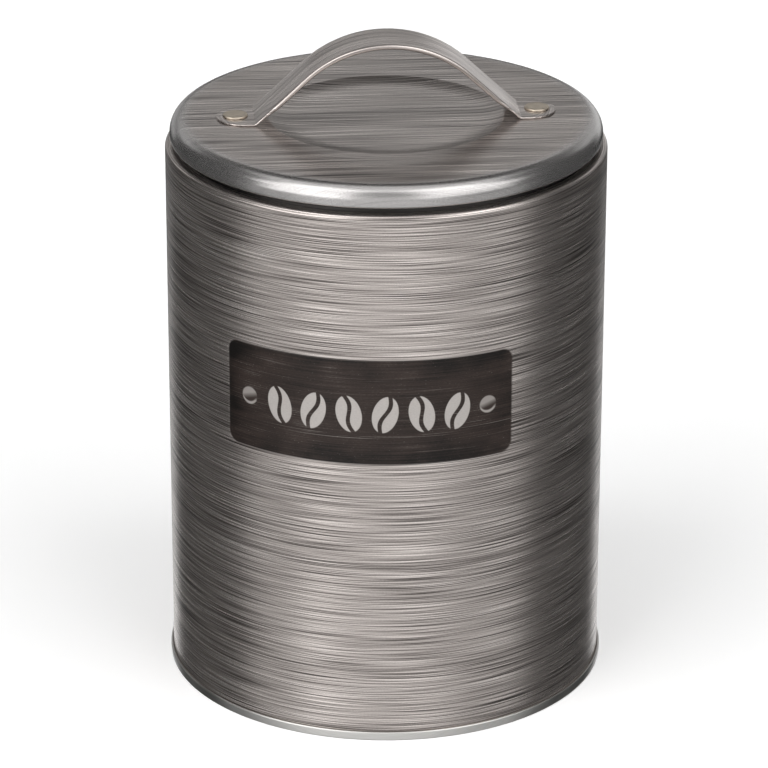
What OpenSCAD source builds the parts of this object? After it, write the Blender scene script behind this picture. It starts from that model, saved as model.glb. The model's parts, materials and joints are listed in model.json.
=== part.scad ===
// Round coffee tin with a slip-on lid, a hemmed strap handle and a double-seamed base.
// Millimetres, +Z up. The origin is the centre of the ring that the tin stands on.
// The front of the tin, where its label is printed, faces -Y; the side seam is at +Y.

/* [Body] */
// Outside diameter of the body wall
body_d = 110; // [90:1:140]
// Height from the standing ring to the top of the body's shoulder
body_h = 139; // [90:1:220]
// Thickness of the tinplate in the body, neck, base and lid
sheet_t = 0.2; // [0.18:0.01:0.28]
// Outside radius of the bend between wall and shoulder
shoulder_r = 1.1; // [0.8:0.1:1.6]
// Width of the folded side seam inside the wall
side_seam_w = 4; // [3:0.5:6]

/* [Base] */
// Height of the double seam that joins the base to the wall
base_seam_h = 2.2; // [1.8:0.1:3]
// Height of the base panel above the standing ring
base_panel_z = 3.4; // [3:0.1:5]
// Diameter of the stiffening bead pressed into the base
base_bead_d = 72; // [40:1:80]
// Height of that bead
base_bead_h = 0.7; // [0.4:0.1:1]

/* [Neck] */
// Width of the shoulder from the wall's outside to the neck's outside
shoulder_w = 3.2; // [2.8:0.1:5]
// Height of the neck above the shoulder
neck_h = 5.4; // [5:0.1:9]
// Outside radius of the bead rolled along the neck's top edge
neck_curl_r = 0.7; // [0.6:0.05:0.9]
// Depth of the neck's skirt inside the wall
neck_skirt_h = 7; // [5:0.5:10]

/* [Lid] */
// Distance that the lid's side stands in from the wall's outside
lid_inset = 1.2; // [1:0.1:1.4]
// Height of the lid from its rolled edge to its flat top
lid_h = 5.4; // [5:0.1:8]
// Outside radius of the lid's rounded rim
lid_round_r = 3.8; // [3:0.1:4]
// Distance from each rivet's centre to the edge of the shallow round recess under the handle
recess_gap = 8; // [7.5:0.5:14]
// Depth of that recess
recess_h = 1; // [0.6:0.1:1.4]
// Width of the soft slope from the recess's edge to its floor
recess_slope_w = 7; // [6:0.5:10]
// Thickness of the soft seal between the lid and the neck
seal_t = 1; // [0.8:0.1:1.4]
// Width of that seal
seal_w = 3.4; // [3:0.1:4]
// Turn of the lid on its neck, from the label's centre line
lid_turn = 10; // [-180:1:180]

/* [Handle] */
// Distance between the two rivets
rivet_pitch = 75; // [60:1:80]
// Distance from each rivet to the bend where the strap leaves the lid
foot_run = 4.6; // [4.4:0.1:7]
// Width of the strap
strap_w = 14; // [11:0.5:18]
// Thickness of the strap's sheet
strap_t = 0.45; // [0.35:0.05:0.6]
// Width of the hem folded under each long edge of the strap
hem_w = 2.2; // [1.6:0.1:3]
// Depth of that rolled hem, from the strap's top face
hem_t = 1.25; // [1.2:0.05:1.4]
// Rise of the strap's top above the lid
strap_rise = 19.6; // [15:0.1:26]
// Slope of the strap's straight legs
leg_slope = 43; // [41:1:50]
// Diameter of the rivets' flat heads
rivet_head_d = 6.2; // [5:0.1:7]
// Thickness of the rivets' flat heads
rivet_head_t = 0.6; // [0.4:0.1:1]
// Diameter of the rivets' shanks
rivet_d = 3; // [2.5:0.1:3.5]

/* [Hidden] */
$fn = 96;

// Clearances
seam_gap = 0.02;   // between the folded layers of the base seam
fit_gap = 0.06;    // between pieces pressed together
slide_gap = 0.3;   // between the lid's rolled edge and the neck
rest_gap = 0.1;    // under and over the seal
pivot_gap = 0.15;  // between the seal and the lid's round rim

// Colours
print_grey = [0.5, 0.48, 0.47];
bare_tin = [0.72, 0.72, 0.71];
rivet_metal = [0.68, 0.62, 0.52];
seal_white = [0.88, 0.88, 0.85];

// Body and base
body_r = body_d / 2;
wall_in_r = body_r - sheet_t;
neck_r = body_r - shoulder_w;
hook_top_z = base_seam_h - 1.5 * sheet_t - seam_gap;
hook_tip_z = base_seam_h - 5 * sheet_t;
seam_out_r = body_r + 3 * (sheet_t + seam_gap);
seam_in_r = wall_in_r - seam_gap - sheet_t;
seam_bend_r = sheet_t + 0.06;
base_corner_r = 1.2;
base_bead_w = 6;

// Neck, seal and lid, stacked upwards from the shoulder
neck_top_z = body_h + neck_h;
seal_z = neck_top_z + rest_gap;
lid_top_z = seal_z + seal_t + rest_gap + sheet_t;
lid_low_z = lid_top_z - lid_h;
lid_r = body_r - lid_inset;
lid_curl_r = (shoulder_w - lid_inset - slide_gap) / 2;
curl_turn = 260;
recess_r = rivet_pitch / 2 - recess_gap;
recess_edge_r = 1.6;

// Handle: a round arch between two straight legs, on flat feet
bend_x = rivet_pitch / 2 - foot_run;
arch_r = (bend_x * tan(leg_slope) - strap_rise) / (1 / cos(leg_slope) - 1);
bend_r = 0.9;
foot_end_r = strap_w / 2;
foot_end_x = bend_x + foot_run / 2;
hem_from_x = bend_x - 2;
rivet_tail_d = 1.6 * rivet_d;
rivet_tail_t = 0.7;

// Side seam
side_seam_angle = side_seam_w / wall_in_r * 180 / PI;
side_seam_low = base_panel_z + 3;
side_seam_top = body_h - neck_skirt_h - 3;

// Points of an arc about c, from one angle to another, in steps of about 12 degrees
function arc(c, r, from, to) =
    let (steps = max(2, ceil(abs(to - from) / 12)))
    [for (i = [0:steps]) c + r * [cos(from + (to - from) * i / steps),
                                  sin(from + (to - from) * i / steps)]];

// The list in reverse order
function reversed(list) = [for (i = [len(list) - 1:-1:0]) list[i]];

// A turned sheet: the space between its outer skin and its inner skin
module turned(outer, inner) {
    rotate_extrude() polygon(concat(outer, reversed(inner)));
}

// Skin of the body wall at depth d below its outside face: hook, wall and shoulder
function wall_skin(d) =
    let (fold_c = [body_r + seam_gap + sheet_t / 2, sheet_t * 2.5 + 2 * seam_gap],
         fold_r = seam_gap + sheet_t / 2 + d)
    concat([[fold_c[0] + fold_r, hook_top_z]],
           arc(fold_c, fold_r, 0, -180),
           arc([body_r - shoulder_r, body_h - shoulder_r], shoulder_r - d, 0, 90),
           [[neck_r + fit_gap, body_h - d]]);

// Body wall: one sheet with a shoulder at the top, a hook at the bottom and a folded side seam
module body_wall() {
    color(print_grey) {
        turned(wall_skin(0), wall_skin(sheet_t));
        translate([0, 0, side_seam_low])
            rotate([0, 0, 90 - side_seam_angle / 2])
            rotate_extrude(angle = side_seam_angle)
            translate([wall_in_r - 2 * sheet_t, 0])
            square([2.5 * sheet_t, side_seam_top - side_seam_low]);
    }
}

// Skin of the neck ring at depth d: rolled top edge, neck, flange under the shoulder, skirt
function neck_skin(d) =
    let (flange_z = body_h - sheet_t - fit_gap,
         skirt_r = wall_in_r - fit_gap,
         corner_r = shoulder_r)
    concat(reversed(arc([neck_r - neck_curl_r, neck_top_z - neck_curl_r], neck_curl_r - d, 0, curl_turn)),
           [[neck_r - d, flange_z - d]],
           arc([skirt_r - corner_r, flange_z - corner_r], corner_r - d, 90, 0),
           [[skirt_r - d, flange_z - neck_skirt_h]]);

// Neck ring: the collar that the lid slips over
module neck_ring() {
    color(bare_tin) turned(neck_skin(0), neck_skin(sheet_t));
}

// Skin of the base at depth d below its outside face: panel, bead, chuck wall, seam and hook
function base_skin(d) =
    let (bead_r = base_bead_d / 2,
         panel_z = base_panel_z + d,
         bead_z = panel_z + base_bead_h,
         chuck_r = seam_in_r + d,
         wall_r = seam_out_r - d,
         roll_c = [body_r + 1.5 * sheet_t + 2 * seam_gap, hook_top_z],
         roll_r = 1.5 * sheet_t + seam_gap - d)
    concat([[0, panel_z], [bead_r - base_bead_w, panel_z], [bead_r - base_bead_w / 3, bead_z],
            [bead_r + base_bead_w / 3, bead_z], [bead_r + base_bead_w, panel_z]],
           arc([seam_in_r - base_corner_r, base_panel_z - base_corner_r], base_corner_r + d, 90, 0),
           arc([seam_in_r + seam_bend_r, seam_bend_r], seam_bend_r - d, 180, 270),
           arc([seam_out_r - seam_bend_r, seam_bend_r], seam_bend_r - d, -90, 0),
           arc(roll_c, roll_r, 0, 180),
           [[roll_c[0] - roll_r, hook_tip_z]]);

// Base end: a pressed panel, rolled together with the wall's hook into a double seam
module base_end() {
    color(bare_tin) turned(base_skin(0), base_skin(sheet_t));
}

// Skin of the lid at depth d below its outside face: recess, panel, rounded rim and rolled edge
function lid_skin(d) =
    let (slope = 2 * atan(recess_h / recess_slope_w),
         floor_r = recess_slope_w / sin(slope) - recess_edge_r)
    concat([[0, lid_top_z - recess_h - d]],
           arc([recess_r - recess_slope_w, lid_top_z - recess_h + floor_r], floor_r + d, -90, slope - 90),
           arc([recess_r, lid_top_z - recess_edge_r], recess_edge_r - d, 90 + slope, 90),
           arc([lid_r - lid_round_r, lid_top_z - lid_round_r], lid_round_r - d, 90, 0),
           arc([lid_r - lid_curl_r, lid_low_z + lid_curl_r], lid_curl_r - d, 0, -curl_turn));

// Lid shell: one pressed sheet with two rivet holes
module lid_shell() {
    color(print_grey)
        rotate([0, 0, lid_turn])
        difference() {
            turned(lid_skin(0), lid_skin(sheet_t));
            for (side = [-1, 1])
                translate([side * rivet_pitch / 2, 0, lid_top_z - 2 * sheet_t])
                    cylinder(d = rivet_d + 2 * fit_gap, h = 3 * sheet_t);
        }
}

// Lid seal: a flat soft ring in the corner between the lid's panel and the neck's rolled edge
module lid_seal() {
    color(seal_white)
        rotate_extrude()
        intersection() {
            translate([neck_r + neck_curl_r / 2 - seal_w, seal_z]) square([seal_w, seal_t]);
            translate([lid_r - lid_round_r, lid_top_z - lid_round_r])
                union() {
                    circle(r = lid_round_r - sheet_t - pivot_gap);
                    translate([-seal_w, 0]) square([seal_w, lid_round_r]);
                }
        }
}

// Skin of the strap at depth d below its top face, over one half: foot, bend, leg and arch
function strap_half(d) =
    let (foot_z = lid_top_z + strap_t - d,
         crown = [0, lid_top_z + strap_t + strap_rise - arch_r],
         bend_c = [bend_x + bend_r * tan(leg_slope / 2), lid_top_z + strap_t + bend_r])
    concat([[foot_end_x + foot_end_r, foot_z]],
           arc(bend_c, bend_r + d, -90, -90 - leg_slope),
           arc(crown, arch_r - d, 90 - leg_slope, 90));

// Side view of a layer of the strap between two depths, both halves
module strap_layer(top, bottom) {
    upper = strap_half(top);
    lower = strap_half(bottom);
    half = concat(upper, reversed(lower));
    polygon(half);
    mirror([1, 0]) polygon(half);
}

// Handle strap: an arched strip with hemmed edges and round feet
module handle_strap() {
    color(print_grey)
        rotate([0, 0, lid_turn])
        difference() {
            union() {
                intersection() {
                    rotate([90, 0, 0])
                        linear_extrude(height = strap_w, center = true) strap_layer(0, strap_t);
                    translate([0, 0, lid_top_z]) linear_extrude(height = 2 * strap_rise) strap_plan();
                }
                for (side = [-1, 1])
                    intersection() {
                        translate([0, side * (strap_w - hem_w) / 2, 0])
                            rotate([90, 0, 0])
                            linear_extrude(height = hem_w, center = true)
                            strap_layer(strap_t / 2, hem_t);
                        translate([-hem_from_x, -strap_w, lid_top_z])
                            cube([2 * hem_from_x, 2 * strap_w, 2 * strap_rise]);
                    }
            }
            for (side = [-1, 1])
                translate([side * rivet_pitch / 2, 0, lid_top_z - strap_t])
                    cylinder(d = rivet_d + 2 * fit_gap, h = 3 * strap_t);
        }
}

// Outline of the strap seen from above: a strip with round ends
module strap_plan() {
    square([2 * foot_end_x, strap_w], center = true);
    for (side = [-1, 1])
        translate([side * foot_end_x, 0]) circle(r = foot_end_r);
}

// Rivet: flat head on the strap's foot, shank, and a tail set flat under the lid
module rivet(side) {
    color(rivet_metal)
        rotate([0, 0, lid_turn])
        translate([side * rivet_pitch / 2, 0, lid_top_z]) {
            translate([0, 0, strap_t]) cylinder(d = rivet_head_d, h = rivet_head_t);
            translate([0, 0, -sheet_t - rivet_tail_t / 2])
                cylinder(d = rivet_d, h = sheet_t + strap_t + rivet_tail_t);
            translate([0, 0, -sheet_t - rivet_tail_t]) cylinder(d = rivet_tail_d, h = rivet_tail_t);
        }
}

module rivet_left() {
    rivet(-1);
}

module rivet_right() {
    rivet(1);
}

body_wall();
neck_ring();
base_end();
lid_shell();
lid_seal();
handle_strap();
rivet_left();
rivet_right();
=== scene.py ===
# %% [markdown]
# # A coffee tin with a strap handle
# The real tin is pressed and rolled from thin sheet that is printed before it is formed: a grey
# brushed-steel pattern with a dark label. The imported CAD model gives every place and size. Each cell
# below makes one piece as a surface worked out with numpy, and the last cells give the finishes and
# the studio. Lengths are in metres; names that end in _mm are in millimetres.

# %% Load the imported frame
import json
import math

import bpy
import numpy as np
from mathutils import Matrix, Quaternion, Vector

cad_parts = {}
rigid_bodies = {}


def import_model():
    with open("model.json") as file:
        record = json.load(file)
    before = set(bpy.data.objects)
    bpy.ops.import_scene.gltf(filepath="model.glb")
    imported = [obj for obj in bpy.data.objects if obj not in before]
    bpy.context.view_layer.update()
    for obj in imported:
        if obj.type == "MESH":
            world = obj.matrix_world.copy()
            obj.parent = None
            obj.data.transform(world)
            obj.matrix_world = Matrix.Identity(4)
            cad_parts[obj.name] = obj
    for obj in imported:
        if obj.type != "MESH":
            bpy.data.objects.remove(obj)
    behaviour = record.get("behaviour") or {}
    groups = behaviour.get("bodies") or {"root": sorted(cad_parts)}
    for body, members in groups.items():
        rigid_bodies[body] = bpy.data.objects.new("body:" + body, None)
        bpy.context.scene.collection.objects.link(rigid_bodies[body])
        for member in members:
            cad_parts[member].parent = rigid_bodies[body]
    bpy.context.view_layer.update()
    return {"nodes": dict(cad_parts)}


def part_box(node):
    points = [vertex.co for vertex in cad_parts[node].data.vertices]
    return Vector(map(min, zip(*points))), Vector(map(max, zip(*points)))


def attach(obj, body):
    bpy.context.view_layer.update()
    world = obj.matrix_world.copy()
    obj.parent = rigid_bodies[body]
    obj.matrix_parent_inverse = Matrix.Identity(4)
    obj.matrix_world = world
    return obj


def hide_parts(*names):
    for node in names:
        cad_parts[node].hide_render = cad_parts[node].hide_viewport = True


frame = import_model()
print("nodes:", sorted(frame["nodes"]))

# %% [markdown]
# ## Sizes
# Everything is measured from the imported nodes, so that the looks follow the CAD. The sheet and its
# folds are too thin to read from a box, so their few values are repeated here in millimetres.

# %% Sizes in millimetres
def box_mm(node):
    """Lowest and highest corner of a CAD node, in millimetres."""
    low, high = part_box(node)
    return np.array(low) * 1000, np.array(high) * 1000


sheet_t = 0.2
seam_gap, fit_gap, slide_gap, pivot_gap = 0.02, 0.06, 0.3, 0.15
body_h = box_mm("body_wall")[1][2]
body_r = box_mm("body_wall")[1][0] - 2 * sheet_t - 2 * seam_gap
neck_top_z = box_mm("neck_ring")[1][2]
lid_low_z, lid_top_z = box_mm("lid_shell")[0][2], box_mm("lid_shell")[1][2]
lid_r = box_mm("lid_shell")[1][0]
strap_top_z = box_mm("handle_strap")[1][2]
lid_turn = 10.0  # degrees by which the lid stands turned on the tin
print(f"body: radius {body_r:.2f}, height {body_h:.2f}; lid: radius {lid_r:.2f}, top {lid_top_z:.2f}")

# %% [markdown]
# ## Profiles
# Every round piece is a thin profile carried round the tin's axis, as on a potter's wheel. A profile
# is a list of (radius, height) points; bends are arcs. A closed sheet has an outer skin, and the same
# skin again at the depth of the sheet, joined into a loop.

# %% Helpers for profiles
def arc(centre, radius, start, end, step=6.0):
    """Points on the circle centre + radius * (cos a, sin a), for a from start to end in degrees."""
    count = max(2, math.ceil(abs(end - start) / step)) + 1
    turn = np.radians(np.linspace(start, end, count))
    return np.column_stack([centre[0] + radius * np.cos(turn), centre[1] + radius * np.sin(turn)])


def lengths(points):
    """Distance along a line of points from its first point to each point."""
    return np.append(0.0, np.cumsum(np.linalg.norm(np.diff(points, axis=0), axis=1)))


def sheet_loop(skin):
    """Closed loop of a sheet: the skin at depth 0, then the skin at the sheet's depth, backwards."""
    outer, inner = skin(0.0), skin(sheet_t)
    return np.vstack([outer, inner[::-1], outer[:1]]), len(outer)


def carried_round(profile, degrees):
    """Grid of points (r cos a, r sin a, z): one row for each angle a, one column for each (r, z)."""
    turn = np.radians(degrees)
    radius, height = profile[:, 0], np.broadcast_to(profile[:, 1], (len(turn), len(profile)))
    grid = np.stack([np.outer(np.cos(turn), radius), np.outer(np.sin(turn), radius), height], -1)
    if abs(degrees[-1] - degrees[0] - 360) < 1e-9:
        grid[-1] = grid[0]
    return grid


# %% [markdown]
# ## From a grid to a mesh
# A grid of points becomes quads. Points in the same place become one vertex, which closes the seams
# and the poles, and a quad with two corners in one place becomes a triangle. Each corner keeps its
# own place on the flat sheet, in metres, so a printed pattern can run over the piece as it ran over
# the sheet. A second map with the same layout, scaled to fill a square, is for baking.

# %% Helper that makes a mesh object
def sheet_mesh(name, grid_mm, flat_mm, inside=None, sharp=35.0):
    """Mesh from a grid (rows, columns, 3) and its flat map (rows, columns, 2), both in millimetres.
    inside marks the columns whose faces take the second material."""
    rows, cols = grid_mm.shape[:2]
    points = grid_mm.reshape(-1, 3) / 1000
    key = np.round(points * 1e7).astype(np.int64)
    _, first, vertex = np.unique(key, axis=0, return_index=True, return_inverse=True)
    vertex = vertex.ravel()
    at = np.arange(rows * cols).reshape(rows, cols)
    quads = np.stack([at[:-1, :-1], at[1:, :-1], at[1:, 1:], at[:-1, 1:]], -1)
    second = np.zeros(quads.shape[:2], int)
    if inside is not None:
        second[:, inside[:-1] & inside[1:]] = 1
    quads, second = quads.reshape(-1, 4), second.ravel()
    ends = vertex[quads]
    keep = ends != np.roll(ends, -1, axis=1)
    whole = (keep.sum(1) > 2) & (ends[:, 0] != ends[:, 2]) & (ends[:, 1] != ends[:, 3])
    quads, ends, keep, second = quads[whole], ends[whole], keep[whole], second[whole]
    if volume_of(points[first], ends) < 0:
        quads, ends = quads[:, ::-1], ends[:, ::-1]
        keep = ends != np.roll(ends, -1, axis=1)
    mesh = bpy.data.meshes.new(name)
    mesh.vertices.add(len(first))
    mesh.vertices.foreach_set("co", points[first].astype(np.float32).ravel())
    mesh.loops.add(int(keep.sum()))
    mesh.loops.foreach_set("vertex_index", ends[keep].astype(np.int32))
    mesh.polygons.add(len(quads))
    start = np.append(0, np.cumsum(keep.sum(1))[:-1])
    mesh.polygons.foreach_set("loop_start", start.astype(np.int32))
    mesh.polygons.foreach_set("material_index", second.astype(np.int32))
    flat = flat_mm.reshape(-1, 2)[quads[keep]] / 1000
    low, span = flat.min(0), np.ptp(flat, axis=0).max()
    for layer, places in (("flat", flat), ("OFBake", 0.005 + 0.99 * (flat - low) / span)):
        mesh.uv_layers.new(name=layer).uv.foreach_set("vector", places.astype(np.float32).ravel())
    mesh.update(calc_edges=True)
    mesh.validate()
    mesh.shade_smooth()
    mesh.set_sharp_from_angle(angle=math.radians(sharp))
    made = bpy.data.objects.new(name, mesh)
    bpy.context.scene.collection.objects.link(made)
    print(f"{name}: {len(mesh.vertices)} vertices, {len(mesh.polygons)} faces")
    return made


def volume_of(points, quads):
    """Signed volume inside the quads: a sum of tetrahedra from the origin, two to each quad."""
    a, b, c, d = (points[quads[:, i]] for i in range(4))
    return float((np.cross(a, b) * c).sum() + (np.cross(a, c) * d).sum()) / 6


# %% [markdown]
# ## Body wall
# On the real tin the wall is one printed sheet bent into a tube. Its ends hook into each other in a
# side seam at the back, the top is turned in to a narrow shoulder, and the bottom edge is curled out
# into a hook for the base. It could be a cylinder with bevels, but a profile keeps every bend exact.
# The side seam is a low ridge inside and a fine groove outside, made by moving points of the grid.
# A closed loop of the sheet has more points where it bends, and the extra heights on the straight
# part are where the seam's ridge starts and ends.

# %% Profile of the wall
shoulder_r, shoulder_w = 1.1, 3.2
base_seam_h = 2.2
hook_top_z = base_seam_h - 1.5 * sheet_t - seam_gap
neck_r = body_r - shoulder_w
ridge_low_z, ridge_high_z = 6.4, 129.0


def wall_skin(depth):
    """Hook at the bottom, straight wall, and a quarter round into the shoulder."""
    fold = (body_r + seam_gap + sheet_t / 2, 2.5 * sheet_t + 2 * seam_gap)
    fold_r = seam_gap + sheet_t / 2 + depth
    run = np.array([1.5, 3.0, ridge_low_z - 0.3, ridge_low_z, *np.linspace(12, 120, 28),
                    ridge_high_z - 0.3, ridge_high_z, ridge_high_z + 4.0, body_h - 2.4])
    return np.vstack([
        [[fold[0] + fold_r, hook_top_z]],
        arc(fold, fold_r, 0, -180, 20),
        np.column_stack([np.full(len(run), body_r - depth), run]),
        arc((body_r - shoulder_r, body_h - shoulder_r), shoulder_r - depth, 0, 90),
        [[neck_r + fit_gap, body_h - depth]],
    ])


wall_loop, wall_outer = sheet_loop(wall_skin)
print(f"wall: {len(wall_loop)} points round the section of the sheet")

# %% [markdown]
# The tube is closed at the back, where the side seam is. Columns of points stand at the edges of the
# seam's folds, so that the ridge and the groove have clean sides. The wall's flat map is the printed
# sheet: the distance round the tin from its front, and the height up the wall.

# %% Body wall and its side seam
seam_half_w, seam_soft, groove_depth = 2.0, 0.3, 0.12
fold_mm = seam_half_w + seam_soft * np.arange(-2, 2)
fold_degrees = np.degrees(fold_mm / body_r)
all_degrees = np.concatenate([np.linspace(90, 450, 241), 90 + fold_degrees, 450 - fold_degrees])
wall_degrees = np.unique(np.round(all_degrees, 6))
wall_grid = carried_round(wall_loop, wall_degrees)
from_seam = np.radians(np.minimum(wall_degrees - 90, 450 - wall_degrees)) * body_r
side = np.where(wall_degrees > 270, -1.0, 1.0) * from_seam
is_inner = np.arange(len(wall_loop)) >= wall_outer
section_r, section_z = wall_loop.T
has_ridge = is_inner & (section_z > ridge_low_z - 0.1) & (section_z < ridge_high_z + 0.1)
has_ridge &= section_r < body_r
has_groove = ~is_inner & (section_z > 2.5) & (section_z < body_h - 2) & (section_r < body_r + 0.01)
ridge_share = np.clip((seam_half_w + seam_soft / 2 - from_seam) / seam_soft, 0, 1)
groove_share = np.clip(1 - abs(side + seam_half_w) / seam_soft, 0, 1)
inward = 2 * sheet_t * np.outer(ridge_share, has_ridge)
inward += groove_depth * np.outer(groove_share, has_groove)
out = wall_grid * [1, 1, 0] / np.linalg.norm(wall_grid * [1, 1, 0], axis=-1, keepdims=True)
wall_grid = wall_grid - out * inward[..., None]
wall_grid[-1] = wall_grid[0]
along = np.broadcast_to(np.radians(wall_degrees - 270)[:, None] * body_r, wall_grid.shape[:2])
known_z, hook_points = 20.0, 6
straight = slice(hook_points, wall_outer)
known_length = np.interp(known_z, section_z[straight], lengths(wall_loop)[straight])
up = lengths(wall_loop) - known_length + known_z
wall_flat = np.stack([along, np.broadcast_to(up, along.shape)], -1)
tin_wall = sheet_mesh("tin_wall", wall_grid, wall_flat, is_inner)

# %% [markdown]
# ## Neck ring
# The neck is a collar of bare tinplate that is pressed into the wall from below. It stands above the
# shoulder, and its top edge is rolled inwards to a smooth bead, over which the lid slips.

# %% Neck ring
neck_curl_r, neck_skirt_h, curl_turn = 0.7, 7.0, 260.0


def neck_skin(depth):
    """Rolled bead at the top, neck, flange under the shoulder, and a skirt inside the wall."""
    flange_z = body_h - sheet_t - fit_gap
    skirt_r = body_r - sheet_t - fit_gap
    bead = arc((neck_r - neck_curl_r, neck_top_z - neck_curl_r), neck_curl_r - depth, 0, curl_turn, 12)
    return np.vstack([
        bead[::-1],
        [[neck_r - depth, flange_z - depth]],
        arc((skirt_r - shoulder_r, flange_z - shoulder_r), shoulder_r - depth, 90, 0, 12),
        [[skirt_r - depth, flange_z - neck_skirt_h]],
    ])


def round_flat(loop, degrees, radius):
    """Flat map of a ring: arc length round it, and distance along its profile."""
    around = np.radians(degrees - 270)[:, None] * radius
    shape = (len(degrees), len(loop))
    return np.stack([np.broadcast_to(around, shape), np.broadcast_to(lengths(loop), shape)], -1)


ring_degrees = np.linspace(90, 450, 193)
neck_loop, _ = sheet_loop(neck_skin)
neck_flat = round_flat(neck_loop, ring_degrees, neck_r)
neck = sheet_mesh("neck", carried_round(neck_loop, ring_degrees), neck_flat)

# %% [markdown]
# ## Base
# The base is a disc pressed with a stiffening bead. Its edge is rolled over the wall's hook into a
# double seam, which shows as a narrow plain rim round the foot of the tin. A torus could stand for
# the rim, but the rolled profile also gives the fine dark line where the seam meets the wall.

# %% Base
base_panel_z, base_bead_r, base_bead_w, base_bead_h, base_corner_r = 3.4, 36.0, 6.0, 0.7, 1.2
seam_out_r = body_r + 3 * (sheet_t + seam_gap)
seam_in_r = body_r - 2 * sheet_t - seam_gap
seam_bend_r = sheet_t + 0.06


def base_skin(depth):
    """Panel with its bead, wall down to the standing ring, round it and up to the rolled hook."""
    roll = (body_r + 1.5 * sheet_t + 2 * seam_gap, hook_top_z)
    roll_r = 1.5 * sheet_t + seam_gap - depth
    across = np.linspace(-1, 1, 17)
    bead_z = base_bead_h * (0.5 + 0.5 * np.cos(np.pi * across)) ** 0.8
    return np.vstack([
        [[0, base_panel_z + depth], [12, base_panel_z + depth], [24, base_panel_z + depth]],
        np.column_stack([base_bead_r + across * base_bead_w, base_panel_z + depth + bead_z]),
        [[48, base_panel_z + depth]],
        arc((seam_in_r - base_corner_r, base_panel_z - base_corner_r), base_corner_r + depth, 90, 0, 10),
        arc((seam_in_r + seam_bend_r, seam_bend_r), seam_bend_r - depth, 180, 270, 15),
        arc((seam_out_r - seam_bend_r, seam_bend_r), seam_bend_r - depth, -90, 0, 15),
        arc(roll, roll_r, 0, 180, 12),
        [[roll[0] - roll_r, base_seam_h - 5 * sheet_t]],
    ])


def disc_flat(loop, count, degrees, shift):
    """Flat map of a pressed disc: (s cos a, s sin a), where s is the distance along the profile from
    the centre. The inner skin lies beside the outer one."""
    far = lengths(loop)
    reach = np.where(np.arange(len(loop)) < count, far, far[-2] - far)
    reach[-1] = 0.0
    turn = np.radians(degrees)
    flat = np.stack([np.outer(np.cos(turn), reach), np.outer(np.sin(turn), reach)], -1)
    flat[:, count:, 0] += shift
    return flat


base_blank_w = 140.0
base_outer = len(base_skin(0.0))
base_loop = np.vstack([base_skin(0.0), base_skin(sheet_t)[::-1]])
base_flat = disc_flat(base_loop, base_outer, ring_degrees, base_blank_w)
base = sheet_mesh("base", carried_round(base_loop, ring_degrees), base_flat)

# %% [markdown]
# ## Lid
# The lid is pressed from one printed sheet: a shallow round recess under the handle, a flat panel, a
# round rim, and an edge rolled inwards so that it is smooth to hold. It is turned a little on the
# tin. Its flat map is the flat blank, so the printed strokes run straight across the panel and over
# the rim, as they do when a printed sheet is pressed.

# %% Lid
recess_r, recess_h, recess_slope_w, recess_edge_r = 29.5, 1.0, 7.0, 1.6
lid_round_r = 3.8
lid_curl_r = (lid_r - neck_r - slide_gap) / 2


def lid_skin(depth):
    """Recess floor, its soft slope and edge, flat panel, round rim and rolled edge."""
    slope = 2 * math.degrees(math.atan(recess_h / recess_slope_w))
    bend_r = recess_slope_w / math.sin(math.radians(slope)) - recess_edge_r
    floor_z = lid_top_z - recess_h
    return np.vstack([
        [[0, floor_z - depth], [8, floor_z - depth], [15, floor_z - depth]],
        arc((recess_r - recess_slope_w, floor_z + bend_r), bend_r + depth, -90, slope - 90, 1.5),
        arc((recess_r, lid_top_z - recess_edge_r), recess_edge_r - depth, 90 + slope, 90, 3),
        [[36, lid_top_z - depth], [43, lid_top_z - depth]],
        arc((lid_r - lid_round_r, lid_top_z - lid_round_r), lid_round_r - depth, 90, 0, 5),
        arc((lid_r - lid_curl_r, lid_low_z + lid_curl_r), lid_curl_r - depth, 0, -curl_turn, 12),
    ])


lid_blank_w = 135.0
lid_outer = len(lid_skin(0.0))
lid_loop = np.vstack([lid_skin(0.0), lid_skin(sheet_t)[::-1]])
lid_degrees = np.linspace(0, 360, 241)
lid_grid = carried_round(lid_loop, lid_degrees + lid_turn)
lid_flat = disc_flat(lid_loop, lid_outer, lid_degrees, lid_blank_w)
lid = sheet_mesh("lid", lid_grid, lid_flat, np.arange(len(lid_loop)) >= lid_outer)

# %% [markdown]
# ## Seal
# A flat soft ring lies under the lid's panel and presses on the neck's bead. Its outer corner is
# trimmed to clear the lid's round rim, and its edges are slightly rounded, as on a moulded ring.

# %% Seal
seal_z, seal_t, seal_w, seal_edge_r = neck_top_z + 0.1, 1.0, 3.4, 0.2
seal_out = neck_r + neck_curl_r / 2
seal_in = seal_out - seal_w
seal_top_z = seal_z + seal_t
clear_r = lid_round_r - sheet_t - pivot_gap
over_centre = seal_top_z - (lid_top_z - lid_round_r)
cut_r = lid_r - lid_round_r + math.sqrt(max(clear_r**2 - over_centre**2, 0))
seal_loop = np.vstack([
    arc((seal_in + seal_edge_r, seal_z + seal_edge_r), seal_edge_r, 270, 180, 30),
    arc((seal_in + seal_edge_r, seal_top_z - seal_edge_r), seal_edge_r, 180, 90, 30),
    [[min(cut_r, seal_out) - 0.1, seal_top_z]],
    arc((seal_out - seal_edge_r, seal_z + seal_edge_r), seal_edge_r, 0, -90, 30),
])
seal_loop = np.vstack([seal_loop, seal_loop[:1]])
seal_flat = round_flat(seal_loop, ring_degrees, seal_out)
seal = sheet_mesh("seal", carried_round(seal_loop, ring_degrees), seal_flat)

# %% [markdown]
# ## Handle strap
# The handle is a strip of the same printed sheet. Both long edges are folded under into hems, which
# makes them round and stiff, and the ends are flat round feet. The strip is a section carried along
# a path: the path is an arch between two straight legs, and at each station the section has its own
# half width and its own hem, which runs out to nothing where the foot begins.

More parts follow.
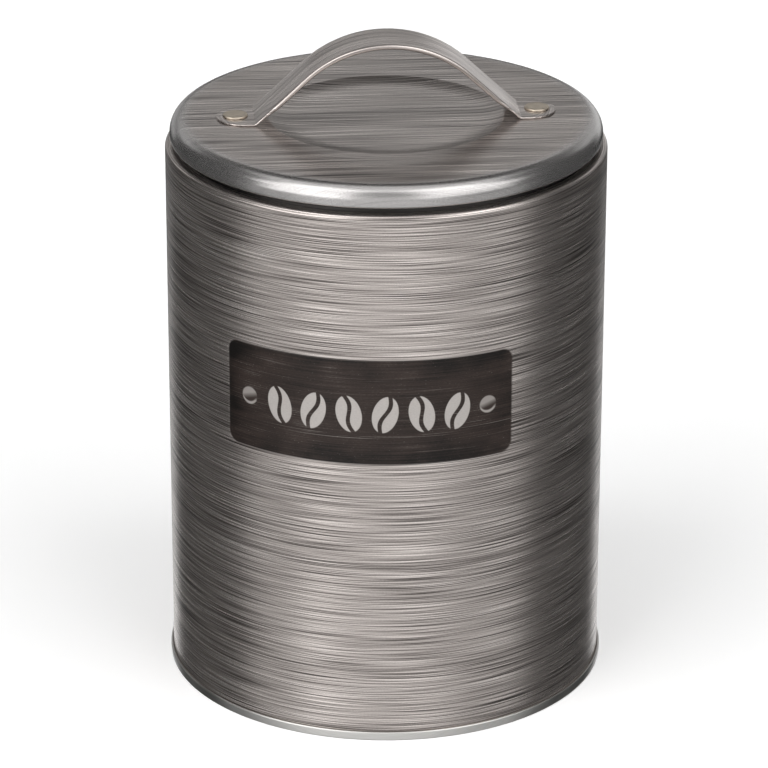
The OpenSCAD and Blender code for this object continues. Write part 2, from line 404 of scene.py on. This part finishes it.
# %% Path of the strap
strap_w, strap_t = 14.0, 0.45
rivet_pitch, foot_run, bend_r, leg_slope = 75.0, 4.6, 0.9, 43.0
strap_rise = strap_top_z - strap_t - lid_top_z
bend_x = rivet_pitch / 2 - foot_run
foot_end_x = bend_x + foot_run / 2
slope_in = math.radians(leg_slope)
arch_r = (bend_x * math.tan(slope_in) - strap_rise) / (1 / math.cos(slope_in) - 1)
arch = arc((0, strap_top_z - arch_r), arch_r, 90, 90 - leg_slope, 1.8)
bend = arc((bend_x + bend_r * math.tan(slope_in / 2), lid_top_z + strap_t + bend_r), bend_r,
           -90 - leg_slope, -90, 6)
leg_share = np.linspace(0, 1, 14)[1:-1, None]
leg = arch[-1] * (1 - leg_share) + bend[0] * leg_share
tip = foot_end_x + strap_w / 2 * np.sin(np.radians(np.linspace(0, 90, 13)))
foot = np.column_stack([tip, np.full(len(tip), lid_top_z + strap_t)])
half_path = np.vstack([arch, leg, bend, foot])
half_normal = np.radians(np.concatenate([
    np.linspace(90, 90 - leg_slope, len(arch)), np.full(len(leg), 90 - leg_slope),
    np.linspace(90 - leg_slope, 90, len(bend)), np.full(len(tip), 90.0)]))
path = np.vstack([half_path[:0:-1] * [-1, 1], half_path])
normal = np.concatenate([np.pi - half_normal[:0:-1], half_normal])
print(f"arch radius {arch_r:.2f} mm, {len(path)} stations along the strap")

# %% [markdown]
# At each station the section is a closed loop: the flat top, the round edge, the lip of the hem and
# the underside, then the same on the other side. Its half width follows a circle at the round end of
# the foot, sqrt(1 - s^2) of the full half width, so the foot closes to a point on its own outline.
# The whole is worked out as arrays of stations by points, and turned with the lid.

# %% Handle strap
hem_w, hem_t, hem_taper = 2.2, 1.25, 3.0
hem_from_x, lip_corner = bend_x - 2.0, 0.12
over_foot = np.clip((abs(path[:, 0]) - foot_end_x) / (strap_w / 2), 0, 1)
half_w = strap_w / 2 * np.sqrt(1 - over_foot**2)
hem = (hem_t - strap_t) * np.clip((hem_from_x - abs(path[:, 0])) / hem_taper, 0, 1) ** 0.7
turn = np.radians(np.linspace(90, -90, 9))
edge_t = strap_t + hem
edge_r = np.minimum(edge_t / 2, half_w)
top_y = np.linspace(0, 1, 6)[:-1] * (half_w - edge_r)[:, None]
round_y = (half_w - edge_r)[:, None] + edge_r[:, None] * np.cos(turn)
round_d = edge_t[:, None] / 2 * (1 - np.sin(turn))
lip = np.maximum(half_w - hem_w, 0)[:, None]
lip_y = lip + np.minimum(half_w, lip_corner)[:, None] * [1.0, 0.3, 0.0, 0.0]
lip_d = strap_t + hem[:, None] * [1.0, 1.0, 0.7, 0.0]
under_y = lip * [0.66, 0.33]
half_y = np.hstack([top_y, round_y, lip_y, under_y])
half_d = np.hstack([np.zeros_like(top_y), round_d, lip_d, np.full_like(under_y, strap_t)])
across = np.hstack([half_y, np.zeros((len(path), 1)), -half_y[:, ::-1]])
deep = np.hstack([half_d, np.full((len(path), 1), strap_t), half_d[:, ::-1]])
from_middle = path[:, :1] - deep * np.cos(normal)[:, None]
up = path[:, 1:] - deep * np.sin(normal)[:, None]
cos_turn, sin_turn = math.cos(math.radians(lid_turn)), math.sin(math.radians(lid_turn))
strap_x = from_middle * cos_turn - across * sin_turn
strap_y = from_middle * sin_turn + across * cos_turn
strap_grid = np.stack([strap_x, strap_y, up], -1)
strap_grid[:, -1] = strap_grid[:, 0]
girth = np.cumsum(np.hypot(np.diff(across, axis=1, prepend=0), np.diff(deep, axis=1, prepend=0)), axis=1)
run = lengths(path) - lengths(path)[len(path) // 2]
strap_flat = np.stack([np.broadcast_to(run[:, None], girth.shape), girth], -1)
strap = sheet_mesh("strap", strap_grid, strap_flat)

# %% [markdown]
# ## Rivets
# Two rivets clamp the feet to the lid. Each has a flat head with a soft edge, a shank, and a tail
# that was set flat under the lid. The head is very slightly domed, so that it catches the light.

# %% Rivets
rivet_head_r, rivet_head_t, rivet_r, rivet_tail_t = 3.1, 0.6, 1.5, 0.7
rivet_tail_r = 1.6 * rivet_r
head_z = lid_top_z + strap_t + rivet_head_t
tail_z = lid_top_z - sheet_t
rivet_loop = np.vstack([
    [[0, head_z], [1.2, head_z - 0.01], [2.1, head_z - 0.03]],
    arc((rivet_head_r - 0.3, head_z - 0.36), 0.3, 80, 0, 20),
    arc((rivet_head_r - 0.1, head_z - rivet_head_t + 0.1), 0.1, 0, -90, 30),
    [[rivet_r, lid_top_z + strap_t], [rivet_r, tail_z]],
    arc((rivet_tail_r - 0.15, tail_z - 0.15), 0.15, 90, 0, 30),
    arc((rivet_tail_r - 0.25, tail_z - rivet_tail_t + 0.25), 0.25, 0, -90, 30),
    [[0, tail_z - rivet_tail_t]],
])


def make_rivet(name, side):
    """Rivet profile carried round its own upright axis, at one end of the turned strap."""
    degrees = np.linspace(0, 360, 49)
    place = side * rivet_pitch / 2
    grid = carried_round(rivet_loop, degrees) + [place * cos_turn, place * sin_turn, 0]
    return sheet_mesh(name, grid, disc_flat(rivet_loop, len(rivet_loop), degrees, 0.0))


rivet_left = make_rivet("rivet_left_head", -1)
rivet_right = make_rivet("rivet_right_head", 1)

# %% [markdown]
# ## Label print
# The dark label is printed on the wall's front. It is made as a film of ink a fiftieth of a
# millimetre proud of the wall, a little larger than the label, so that its own map can hold the fine
# detail of the label and its margin can repeat the wall's print.

# %% Label film
label_w, label_h, label_z = 75.0, 27.4, 88.5
film_margin, film_t = 1.0, 0.02
film_u = np.linspace(-label_w / 2 - film_margin, label_w / 2 + film_margin, 101)
film_z = np.linspace(label_z - label_h / 2 - film_margin, label_z + label_h / 2 + film_margin, 13)
loop_z = np.concatenate([film_z, film_z[::-1], film_z[:1]])
loop_r = np.where(np.arange(len(loop_z)) < len(film_z), body_r + film_t, body_r - film_t / 2)
loop_r[-1] = loop_r[0]
rows = np.concatenate([film_u[:1], film_u, film_u[-1:]])
film_r = np.broadcast_to(loop_r, (len(rows), len(loop_r))).copy()
film_r[[0, -1]] = body_r - film_t / 2
bearing = (rows / body_r - np.pi / 2)[:, None]
film_grid = np.stack([film_r * np.cos(bearing), film_r * np.sin(bearing),
                      np.broadcast_to(loop_z, film_r.shape)], -1)
film_flat = np.stack([np.broadcast_to(rows[:, None], film_r.shape),
                      np.broadcast_to(loop_z, film_r.shape)], -1).copy()
back_shift = 40.0
film_flat[:, len(film_z):-1, 1] += back_shift
label = sheet_mesh("label_print", film_grid, film_flat)

# %% [markdown]
# ## Finishes
# A procedural finish is a small sum over the surface. To keep such sums readable, a Field stands for
# a number that varies over the surface, and arithmetic on Fields adds Math nodes to the material.

# %% Helper that turns arithmetic into shader nodes
class Field:
    """A number that varies over the surface; each operation on it adds one node."""

    def __init__(self, tree, socket):
        self.tree, self.socket = tree, socket

    def math(self, operation, *others):
        node = self.tree.nodes.new("ShaderNodeMath")
        node.operation = operation
        for slot, value in zip(node.inputs, (self, *others)):
            if isinstance(value, Field):
                self.tree.links.new(value.socket, slot)
            else:
                slot.default_value = value
        return Field(self.tree, node.outputs[0])

    def __add__(self, other):
        return self.math("ADD", other)

    def __sub__(self, other):
        return self.math("SUBTRACT", other)

    def __mul__(self, other):
        return self.math("MULTIPLY", other)

    def __truediv__(self, other):
        return self.math("DIVIDE", other)

    def step(self, low, high, start=0.0, end=1.0):
        """Smooth step: start where the field is below low, end where it is above high."""
        node = self.tree.nodes.new("ShaderNodeMapRange")
        node.interpolation_type = "SMOOTHSTEP"
        self.tree.links.new(self.socket, node.inputs["Value"])
        for name, value in (("From Min", low), ("From Max", high), ("To Min", start), ("To Max", end)):
            node.inputs[name].default_value = value
        return Field(self.tree, node.outputs["Result"])


def noise(u, v, long_mm, wide_mm, seed, detail=2.0):
    """Noise with a mean of a half, stretched to spots about long by wide millimetres."""
    tree = u.tree
    join = tree.nodes.new("ShaderNodeCombineXYZ")
    node = tree.nodes.new("ShaderNodeTexNoise")
    for slot, value in zip(join.inputs, (u / (long_mm / 1000), v / (wide_mm / 1000))):
        tree.links.new(value.socket, slot)
    join.inputs["Z"].default_value = seed
    tree.links.new(join.outputs[0], node.inputs["Vector"])
    node.inputs["Scale"].default_value = 1.0
    node.inputs["Detail"].default_value = detail
    return Field(tree, node.outputs["Fac"])


def new_finish(name, metallic, **values):
    """A material with one Principled shader, whose unchanging values are set on its own sockets."""
    material = bpy.data.materials.new(name)
    material.use_nodes = True
    shader = material.node_tree.nodes["Principled BSDF"]
    shader.inputs["Metallic"].default_value = metallic
    for socket, value in values.items():
        shader.inputs[socket.replace("_", " ")].default_value = value
    return material.node_tree, shader, material


def flat_places(tree):
    """The piece's own flat map in metres, as two Fields: u along the strokes and v across them."""
    source = tree.nodes.new("ShaderNodeUVMap")
    source.uv_map = "flat"
    split = tree.nodes.new("ShaderNodeSeparateXYZ")
    tree.links.new(source.outputs[0], split.inputs[0])
    return Field(tree, split.outputs["X"]), Field(tree, split.outputs["Y"])


def coloured(tone, stops):
    """Colour ramp: each stop is a place from 0 to 1 and a linear colour."""
    node = tone.tree.nodes.new("ShaderNodeValToRGB")
    ramp = node.color_ramp
    for _ in range(len(stops) - 2):
        ramp.elements.new(0.5)
    for element, (place, colour) in zip(ramp.elements, stops):
        element.position = place
        element.color = (*colour, 1.0)
    tone.tree.links.new(tone.socket, node.inputs["Fac"])
    return node.outputs["Color"]


def bumped(shader, height, depth_mm):
    """Bump of a height Field that runs from 0 to about 1, that many millimetres deep."""
    node = height.tree.nodes.new("ShaderNodeBump")
    node.inputs["Distance"].default_value = depth_mm / 1000
    height.tree.links.new(height.socket, node.inputs["Height"])
    height.tree.links.new(node.outputs["Normal"], shader.inputs["Normal"])


# %% [markdown]
# ## Brushed print
# The grey of the wall, lid and handle is a printed picture of hand-brushed steel under a satin
# lacquer. It has soft bands, strokes a few centimetres long that cross at slight angles, clusters of
# thin dark scratches, and a very fine grain. Each is noise stretched along the strokes. The tones add
# up, then one ramp gives the warm greys, and the same strokes change the gloss and give a faint bump.

# %% Tone of the brushed strokes
def strokes(u, v, size=1.0, contrast=1.0):
    """Tone of the print: the sum of soft bands, crossing strokes, dark scratches and fine grain.
    Each noise has its strokes' length and width in millimetres, its seed and its detail."""
    u, v = u / size, v / size
    rising, falling = v + u * 0.004, v - u * 0.005
    bands = noise(u, v, 190, 3.6, 1.3)
    broad = noise(u, rising, 110, 1.1, 4.7, 1.0)
    fine = noise(u, falling, 46, 0.34, 9.1, 1.0)
    grain = noise(u, v, 24, 0.20, 14.9, 0.0)
    cluster = noise(u, v, 90, 7, 21.3).step(0.44, 0.60)
    scratch = noise(u, rising, 42, 0.18, 27.7, 0.0).step(0.56, 0.70) * (cluster * 0.85 + 0.15)
    line = noise(u, v, 150, 0.22, 33.1, 0.0).step(0.60, 0.70)
    zone = noise(u, v, 85, 1.5, 39.5, 1.0).step(0.56, 0.72) * (cluster * 0.8 + 0.2)
    tone = (bands - 0.5) * 0.30 + (broad - 0.5) * 0.08 + (fine - 0.5) * 0.16 + (grain - 0.5) * 1.7
    return (tone - scratch * 0.20 - line * 0.22 - zone * 0.12) * contrast + MEAN_TONE


MEAN_TONE = 0.57
PRINT_STOPS = [(0.0, (0.060, 0.052, 0.048)), (0.28, (0.21, 0.188, 0.176)),
               (0.5, (0.41, 0.369, 0.347)), (0.75, (0.63, 0.573, 0.542)), (1.0, (0.82, 0.760, 0.722))]

# %% [markdown]
# The three printed pieces take the same print, with strokes a little larger on the lid and paler on
# the strap. Pressing stretches the sheet over the lid's rim, where the strokes open up until they
# almost vanish and the grey turns cooler. So the lid's finish fades its strokes between two distances
# from the middle of the blank, and a second ramp takes over there.

# %% Brushed print on the wall, lid and strap
RIM_STOPS = [(0.0, (0.054, 0.052, 0.052)), (0.5, (0.405, 0.392, 0.386)), (1.0, (0.80, 0.785, 0.77))]
STROKE_BUMP_MM = 0.0015


def mixed(share, first, second):
    """First colour where share is 0, second colour where it is 1."""
    node = share.tree.nodes.new("ShaderNodeMix")
    node.data_type = "RGBA"
    slots = node.inputs["Factor"], node.inputs[6], node.inputs[7]
    for slot, socket in zip(slots, (share.socket, first, second)):
        share.tree.links.new(socket, slot)
    return node.outputs[2]


def print_roughness(tone):
    """Pale strokes are glossier: 0.33 where the tone is dark, 0.27 where it is pale."""
    return tone.step(0.1, 0.9, 0.33, 0.27)


def brushed_print(name, size=1.0, contrast=1.0, level=0.0, fade_mm=None):
    """Satin lacquer over the printed strokes. They fade between the two distances fade_mm from the
    middle of the flat sheet."""
    tree, shader, material = new_finish(name, 0.92, Coat_Weight=0.12, Coat_Roughness=0.22)
    u, v = flat_places(tree)
    speckle = (noise(u, v, 0.45, 0.35, 61.0, 2.0) - 0.5) * 0.22
    tone = strokes(u, v, size, contrast)
    if fade_mm:
        stretched = (u * u + v * v).math("SQRT").step(fade_mm[0] / 1000, fade_mm[1] / 1000)
        tone = (tone - MEAN_TONE) * (stretched * -0.93 + 1) + MEAN_TONE + level + speckle
        base = mixed(stretched, coloured(tone, PRINT_STOPS), coloured(tone, RIM_STOPS))
        rough = print_roughness(tone) - stretched * 0.05
    else:
        tone = tone + level + speckle
        base, rough = coloured(tone, PRINT_STOPS), print_roughness(tone)
    tree.links.new(base, shader.inputs["Base Color"])
    tree.links.new(rough.socket, shader.inputs["Roughness"])
    bumped(shader, tone, STROKE_BUMP_MM)
    return material


print_finish = brushed_print("brushed_print")
lid_print_finish = brushed_print("brushed_print_lid", size=1.5, level=-0.02, fade_mm=(47.5, 52.5))
strap_print_finish = brushed_print("brushed_print_strap", size=1.2, contrast=0.85, level=0.07)
print("printed finishes:", [made.name for made in (print_finish, lid_print_finish, strap_print_finish)])

# %% [markdown]
# ## Bare tinplate, rivets and seal
# Bare tinplate is brighter than the print, with the faint straight grain of the rolling mill and
# cloudy patches where the tin flowed. On the neck, painted shade darkens the outer skin in a line just
# above the shoulder, which keeps the gap under the lid dark. The height on the object places it.

# %% Tinplate, plain and on the neck with painted shade
STEEL_STOPS = [(0.0, (0.42, 0.41, 0.395)), (0.5, (0.60, 0.59, 0.57)), (1.0, (0.74, 0.73, 0.71))]
# The darkest stop is the painted shade in the gap under the lid.
GAP_SHADE_STOPS = [(0.0, (0.016, 0.015, 0.015)), (0.3, (0.42, 0.41, 0.395)), (1.0, (0.74, 0.73, 0.71))]
MILL_BUMP_MM = 0.004


def object_places(tree):
    """The place on the object, in metres, as three Fields."""
    source = tree.nodes.new("ShaderNodeTexCoord")
    split = tree.nodes.new("ShaderNodeSeparateXYZ")
    tree.links.new(source.outputs["Object"], split.inputs[0])
    return [Field(tree, split.outputs[axis]) for axis in "XYZ"]


def tinplate():
    """Bright rolled sheet with mill grain and soft clouds."""
    tree, shader, material = new_finish("tinplate", 1.0)
    u, v = flat_places(tree)
    grain = noise(u, v, 12, 0.3, 2.2, 3.0)
    cloud = noise(u, v, 34, 9, 5.5, 2.0)
    tone = (grain - 0.5) * 0.5 + (cloud - 0.5) * 0.5 + 0.5
    tree.links.new(coloured(tone, STEEL_STOPS), shader.inputs["Base Color"])
    tree.links.new(cloud.step(0.3, 0.7, 0.30, 0.38).socket, shader.inputs["Roughness"])
    bumped(shader, grain, MILL_BUMP_MM)
    return material


def neck_plate_with_painted_shade():
    """Tinplate with painted shade darkening the neck's outer skin up to a few millimetres above the
    shoulder.
    """
    tree, shader, material = new_finish("tinplate_neck_painted_shade", 1.0)
    u, v = flat_places(tree)
    x, y, z = object_places(tree)
    grain = noise(u, v, 12, 0.3, 2.2, 3.0)
    cloud = noise(u, v, 9, 7, 5.5, 3.0)
    # Painted shade: the outer skin in the gap under the lid is darkened to a twentieth; the inner skin
    # is not.
    inside = (x * x + y * y).math("SQRT").step((neck_r - 0.14) / 1000, (neck_r - 0.06) / 1000, 1.0, 0.0)
    above = (z + (cloud - 0.5) * 0.0012).step((body_h + 1.6) / 1000, (body_h + 3.2) / 1000, 0.05, 1.0)
    painted_gap_shade = above.math("MAXIMUM", inside)
    tone = ((grain - 0.5) * 0.5 + (cloud - 0.5) * 0.6 + 0.5) * painted_gap_shade
    tree.links.new(coloured(tone, GAP_SHADE_STOPS), shader.inputs["Base Color"])
    tree.links.new(cloud.step(0.3, 0.7, 0.30, 0.42).socket, shader.inputs["Roughness"])
    bumped(shader, grain, MILL_BUMP_MM)
    return material


tin_finish, neck_shaded_finish = tinplate(), neck_plate_with_painted_shade()
print("bare metal finishes:", tin_finish.name, neck_shaded_finish.name)

# %% [markdown]
# The rivets are a warm nickel brass, dulled and lightly rubbed. The seal is milky rubber with a matt
# moulded skin. Their patterns could follow the flat maps too, but both are read from the place on the
# object, so the two rivets, which are made from one profile, don't look the same.

# %% Rivet metal and rubber
def rivet_metal():
    """Nickel brass with a rubbed centre, small pits and a little tarnish."""
    tree, shader, material = new_finish("rivet_metal", 0.9)
    x, y, z = object_places(tree)
    rub = noise(x + y * 0.3, y + z, 3.0, 0.12, 3.3, 2.0)
    tarnish = noise(x, y, 1.1, 1.1, 8.8, 3.0)
    tone = (rub - 0.5) * 0.5 + (tarnish - 0.5) * 0.9 + 0.5
    stops = [(0.0, (0.30, 0.25, 0.19)), (0.5, (0.56, 0.49, 0.40)), (1.0, (0.74, 0.67, 0.57))]
    tree.links.new(coloured(tone, stops), shader.inputs["Base Color"])
    tree.links.new(tarnish.step(0.3, 0.7, 0.30, 0.46).socket, shader.inputs["Roughness"])
    bumped(shader, tone, 0.01)
    return material


def seal_rubber():
    """Milky rubber with a fine moulded texture."""
    tree, shader, material = new_finish("seal_rubber", 0.0, IOR=1.42)
    x, y, z = object_places(tree)
    skin = noise(x, y + z, 0.5, 0.5, 6.1, 3.0)
    haze = noise(x, y, 14, 14, 1.1, 2.0)
    tree.links.new(coloured(haze, [(0.3, (0.66, 0.66, 0.62)), (0.7, (0.80, 0.80, 0.77))]),
                   shader.inputs["Base Color"])
    tree.links.new(skin.step(0.3, 0.7, 0.50, 0.62).socket, shader.inputs["Roughness"])
    bumped(shader, skin, 0.02)
    return material


rivet_finish, seal_finish = rivet_metal(), seal_rubber()
print("rivet and seal finishes:", rivet_finish.name, seal_finish.name)

# %% [markdown]
# ## Label
# The label is a near-black plate with round corners and a slightly soft edge, blotchy along its
# border, rubbed by fine pale scratches, with a printed rivet at each end. Its lettering is replaced
# by a row of six coffee beans of the same size, pitch and tone. Each shape is a formula: an ellipse
# is where (x / a)^2 + (y / b)^2 is below 1, and a rounded plate is a distance to a smaller rectangle.

# %% Shapes on the label
MM = 0.001


def coverage(x, y, half_w, half_h, soft):
    """1 inside the ellipse with these half sizes, 0 outside, softened by a share of its size."""
    far = (x * x / half_w**2 + y * y / half_h**2).math("SQRT")
    return far.step(1 - soft, 1 + soft, 1.0, 0.0)


def plate(x, y, half_w, half_h, corner, soft):
    """1 inside a rectangle with round corners: distance to the inner rectangle, less the corner."""
    over_x = (x.math("ABSOLUTE") - (half_w - corner)).math("MAXIMUM", 0.0)
    over_y = (y.math("ABSOLUTE") - (half_h - corner)).math("MAXIMUM", 0.0)
    far = (over_x * over_x + over_y * over_y).math("SQRT") - corner
    return far.step(-soft, soft, 1.0, 0.0)


def beans(x, y, pitch, half_w, half_h):
    """A row of six beans: one ellipse in each cell of the pitch, leaning, with a curved crease."""
    cell = (x / pitch + 3.0).math("FLOOR")
    from_left = x - (cell - 2.5) * pitch
    lean = cell.math("MODULO", 2.0) * 0.5 - 0.25
    along = y + from_left * lean
    aside = from_left - y * lean
    body = coverage(aside, along, half_w, half_h, 0.035)
    wave = (along * (3.1 / half_h)).math("SINE") * (half_w * 0.22)
    crease = (aside - wave).math("ABSOLUTE").step(half_w * 0.13, half_w * 0.20)
    in_row = x.math("ABSOLUTE").step(3 * pitch - 1e-5, 3 * pitch, 1.0, 0.0)
    return body * crease * in_row


def printed_rivet(x, y):
    """Cover and tone of a rivet head printed round (0, 0): dark below, pale above and on its rim."""
    disc = coverage(x, y, 2.25 * MM, 2.25 * MM, 0.08)
    shade = (y + x * -0.3).step(-0.9 * MM, 0.9 * MM, 0.20, 0.58)
    inside = coverage(x + 0.12 * MM, y - 0.42 * MM, 2.05 * MM, 1.95 * MM, 0.10)
    rim = (inside * -1 + 1) * (y * -1).step(0.0, 1.2 * MM)
    return disc, shade + rim * 0.42


# %% [markdown]
# The plate's own tone is a sum of blotches, fine specks, hair scratches and a few rubs. The beans and
# the rivets are laid over it, each by its cover. Outside the plate the film repeats the wall's print,
# so its margin can't be seen.

# %% Label finish
corner_r, edge_soft, border_w = 3.0, 0.36, 3.0
bean_pitch, bean_half_w, bean_half_h, bean_x, bean_y = 8.9, 3.25, 5.0, 0.35, -0.5
rivet_print_x = 30.65
LABEL_STOPS = [(0.0, (0.004, 0.003, 0.0025)), (0.2, (0.034, 0.0225, 0.0185)),
               (0.5, (0.19, 0.172, 0.160)), (1.0, (0.74, 0.70, 0.67))]


def plate_tone(x, y, speck):
    """Tone of the plate: blotches that are stronger at its border, specks, scratches and rubs."""
    half_w, half_h = (label_w / 2 - border_w) * MM, (label_h / 2 - border_w) * MM
    inner = plate(x, y, half_w, half_h, 6 * MM, 4 * MM)
    blotch = noise(x, y, 11, 7, 3.9, 3.0)
    rub = noise(x, y + x * 0.004, 16, 0.17, 12.5, 1.0).step(0.62, 0.74)
    where = noise(x, y, 30, 5, 18.2).step(0.42, 0.6) * y.step(-9 * MM, 5 * MM, 1.0, 0.25)
    fleck = noise(x, y, 0.25, 0.22, 44.0, 0.0).step(0.80, 0.84)
    hair = noise(x, y - x * 0.003, 24, 0.22, 71.0, 1.0)
    cloudy = (blotch - 0.5) * (inner * -0.36 + 0.60) + (speck - 0.5) * 0.20 + inner * 0.09 + 0.06
    return cloudy + (hair - 0.5) * 0.36 + rub * (where * 0.24 + 0.05) + fleck * 0.3


def label_finish():
    """The wall's print, with the label's dark plate, its scratches, rivets and beans over it."""
    tree, shader, material = new_finish("label_print", 0.0, Specular_IOR_Level=0.36)
    x, v = flat_places(tree)
    y = v - label_z * MM
    tone = strokes(x, v)
    dark = plate(x, y, label_w / 2 * MM, label_h / 2 * MM, corner_r * MM, edge_soft * MM)
    speck = noise(x, y, 0.7, 0.18, 51.0, 2.0)
    marks = beans(x - bean_x * MM, y - bean_y * MM, bean_pitch * MM, bean_half_w * MM, bean_half_h * MM)
    over = plate_tone(x, y, speck) * (marks * -1 + 1) + marks * ((speck - 0.5) * 0.14 + 0.70)
    for side in (-1, 1):
        disc, head = printed_rivet(x - side * rivet_print_x * MM, y)
        over = over * (disc * -1 + 1) + head * disc
    base = mixed(dark, coloured(tone, PRINT_STOPS), coloured(over, LABEL_STOPS))
    tree.links.new(base, shader.inputs["Base Color"])
    rough = print_roughness(tone) * (dark * -1 + 1) + dark * 0.40
    tree.links.new(rough.socket, shader.inputs["Roughness"])
    tree.links.new(dark.step(0.0, 1.0, 0.92, 0.30).socket, shader.inputs["Metallic"])
    bumped(shader, tone * (dark * -0.7 + 1), STROKE_BUMP_MM)
    return material


label_print_finish = label_finish()
print(f"label finish: {len(label_print_finish.node_tree.nodes)} nodes")

# %% [markdown]
# ## Dress the pieces
# Each piece takes its finishes, rides on the body that carries it, and stands for its CAD node. Then
# each new box is compared with its node's box, which shows at once if a profile went wrong.

# %% Dress and ride
DRESS = [
    (tin_wall, "tin", "body_wall", "brushed_print", [print_finish, tin_finish]),
    (neck, "tin", "neck_ring", "tinplate", [neck_shaded_finish]),
    (base, "tin", "base_end", "tinplate", [tin_finish]),
    (lid, "lid", "lid_shell", "brushed_print", [lid_print_finish, tin_finish]),
    (seal, "seal", "lid_seal", "seal_rubber", [seal_finish]),
    (strap, "lid", "handle_strap", "brushed_print", [strap_print_finish]),
    (rivet_left, "lid", "rivet_left", "rivet_metal", [rivet_finish]),
    (rivet_right, "lid", "rivet_right", "rivet_metal", [rivet_finish]),
    (label, "tin", None, "brushed_print", [label_print_finish]),
]
for piece, body, node, slot, finishes in DRESS:
    for finish in finishes:
        piece.data.materials.append(finish)
    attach(piece, body)
    if node:
        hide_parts(node)
        corners = np.array(piece.bound_box) * 1000
        off = np.abs([corners.min(0), corners.max(0)] - np.array(box_mm(node))).max()
        print(f"{piece.name}: box is within {off:.3f} mm of {node}")

# %% [markdown]
# ## Studio floor
# The tin stands on a plain pale floor of paper. A plane would do for its shape. Its colour has a
# faint fibre, and a little light of its own lifts it close to white. The print is glossy enough to
# mirror the floor, so the floor is left out of reflections and the sky below stands in for it.

# %% Floor
def make_floor():
    """Flat square grid of pale paper under the tin."""
    reach = 3.0
    corners = [(-reach, -reach, 0), (reach, -reach, 0), (reach, reach, 0), (-reach, reach, 0)]
    mesh = bpy.data.meshes.new("floor")
    mesh.from_pydata(corners, [], [(0, 1, 2, 3)])
    made = bpy.data.objects.new("floor", mesh)
    bpy.context.scene.collection.objects.link(made)
    tree, shader, material = new_finish("pale_paper", 0.0)
    x, y, _ = object_places(tree)
    fibre = noise(x, y, 3, 3, 2.0, 3.0)
    tree.links.new(coloured(fibre, [(0.3, (0.90, 0.90, 0.90)), (0.7, (0.93, 0.93, 0.93))]),
                   shader.inputs["Base Color"])
    shader.inputs["Roughness"].default_value = 0.9
    shader.inputs["Emission Color"].default_value = (1.0, 1.0, 1.0, 1.0)
    shader.inputs["Emission Strength"].default_value = 0.20
    mesh.materials.append(material)
    made.visible_glossy = False
    print(f"floor: {2 * reach:.0f} m square")


make_floor()

# %% [markdown]
# ## Sky of soft panels
# Metal shows what stands round it, so the light is a set of large soft boxes far away: two tall ones
# at the front corners for the bright bands on the wall and rim, low ones for the floor's glow, and
# dark gaps between them for the darker sides. Lamps would do, but a sky of soft windows of bearing
# and height has no edges or noise, and each window is moved by changing one row of the table.

# %% Sky of soft panels
VIEW_AZIMUTH = 5.1
# Degrees: bearing of the middle from the camera's side, half width, lowest and highest edge, and
# softness of the edges; then brightness.
PANELS = [
    (-50, 29, 30, 72, 6, 2.35),
    (-44, 23, 3, 30, 6, 2.20),
    (51, 30, 30, 74, 7, 2.10),
    (44, 25, 8, 30, 7, 1.45),
    (0, 20, 28, 90, 9, 0.36),
    (-4, 37, -54, 28, 15, 0.84),
    (0, 181, 64, 91, 6, 0.92),
    (-96, 42, 54, 66, 6, 0.90),
    (96, 42, 55, 66, 6, 0.85),
    (-55, 22, -60, 0, 12, 0.52),
    (55, 22, -60, 0, 12, 0.52),
    (180, 28, -60, -24, 6, 1.70),
    (158, 13, -8, 13, 5, 0.80),
    (-158, 13, -10, 8, 5, 0.45),
    (180, 45, 14, 31, 5, 0.56),
]
AMBIENT = 0.05


def direction_of(tree):
    """The three parts of the direction that a ray looks in."""
    source = tree.nodes.new("ShaderNodeTexCoord")
    split = tree.nodes.new("ShaderNodeSeparateXYZ")
    tree.links.new(source.outputs["Generated"], split.inputs[0])
    return [Field(tree, socket) for socket in split.outputs]


def make_sky(panels, ambient):
    """World light: ambient plus, for each panel, its brightness inside a soft-edged window of
    bearing and height."""
    world = bpy.data.worlds.new("studio")
    bpy.context.scene.world = world
    world.use_nodes = True
    tree = world.node_tree
    x, y, z = direction_of(tree)
    bearing = x.math("ARCTAN2", y * -1) * (180 / math.pi) - VIEW_AZIMUTH
    rise = z.math("ARCSINE") * (180 / math.pi)
    total = None
    for middle, half, low, high, soft, bright in panels:
        window = rise.step(low - soft, low + soft) * rise.step(high - soft, high + soft, 1.0, 0.0)
        if half < 180:
            off = (bearing - middle).math("WRAP", 180.0, -180.0).math("ABSOLUTE")
            window = window * off.step(half - soft, half + soft, 1.0, 0.0)
        total = window * bright + (total or ambient)
    background = tree.nodes["Background"]
    background.inputs["Color"].default_value = (1.0, 1.0, 1.0, 1.0)
    tree.links.new(total.socket, background.inputs["Strength"])
    world.cycles.sampling_method = "NONE"
    print(f"sky: {len(panels)} panels, ambient {ambient}")


make_sky(PANELS, AMBIENT)

# %% [markdown]
# ## Camera
# A long lens from about a metre away, looking down at the tin by some 23 degrees, keeps the wall's
# sides almost upright. The camera is aimed at a point on the tin's axis and turned to its place with
# a quaternion, and a very small roll levels the picture. The plain view transform keeps the whites.

# %% Camera
lens_mm, sensor_mm, roll_degrees = 204.9, 36.0, 0.1165
camera = bpy.data.objects.new("camera", bpy.data.cameras.new("camera"))
bpy.context.scene.collection.objects.link(camera)
bpy.context.scene.camera = camera
camera.data.sensor_width = sensor_mm
camera.data.lens = lens_mm
camera.location = (0.09114, -1.02117, 0.50466)
aim = Vector((-0.00044, -0.00004, 0.07302))
look = aim - camera.location
roll = Quaternion((0, 0, 1), math.radians(roll_degrees))
camera.rotation_mode = "QUATERNION"
camera.rotation_quaternion = look.to_track_quat("-Z", "Y") @ roll
bpy.context.scene.view_settings.view_transform = "Standard"
down = math.degrees(math.asin(-look.z / look.length))
print(f"camera: {look.length:.3f} m away, looking down by {down:.1f} degrees")
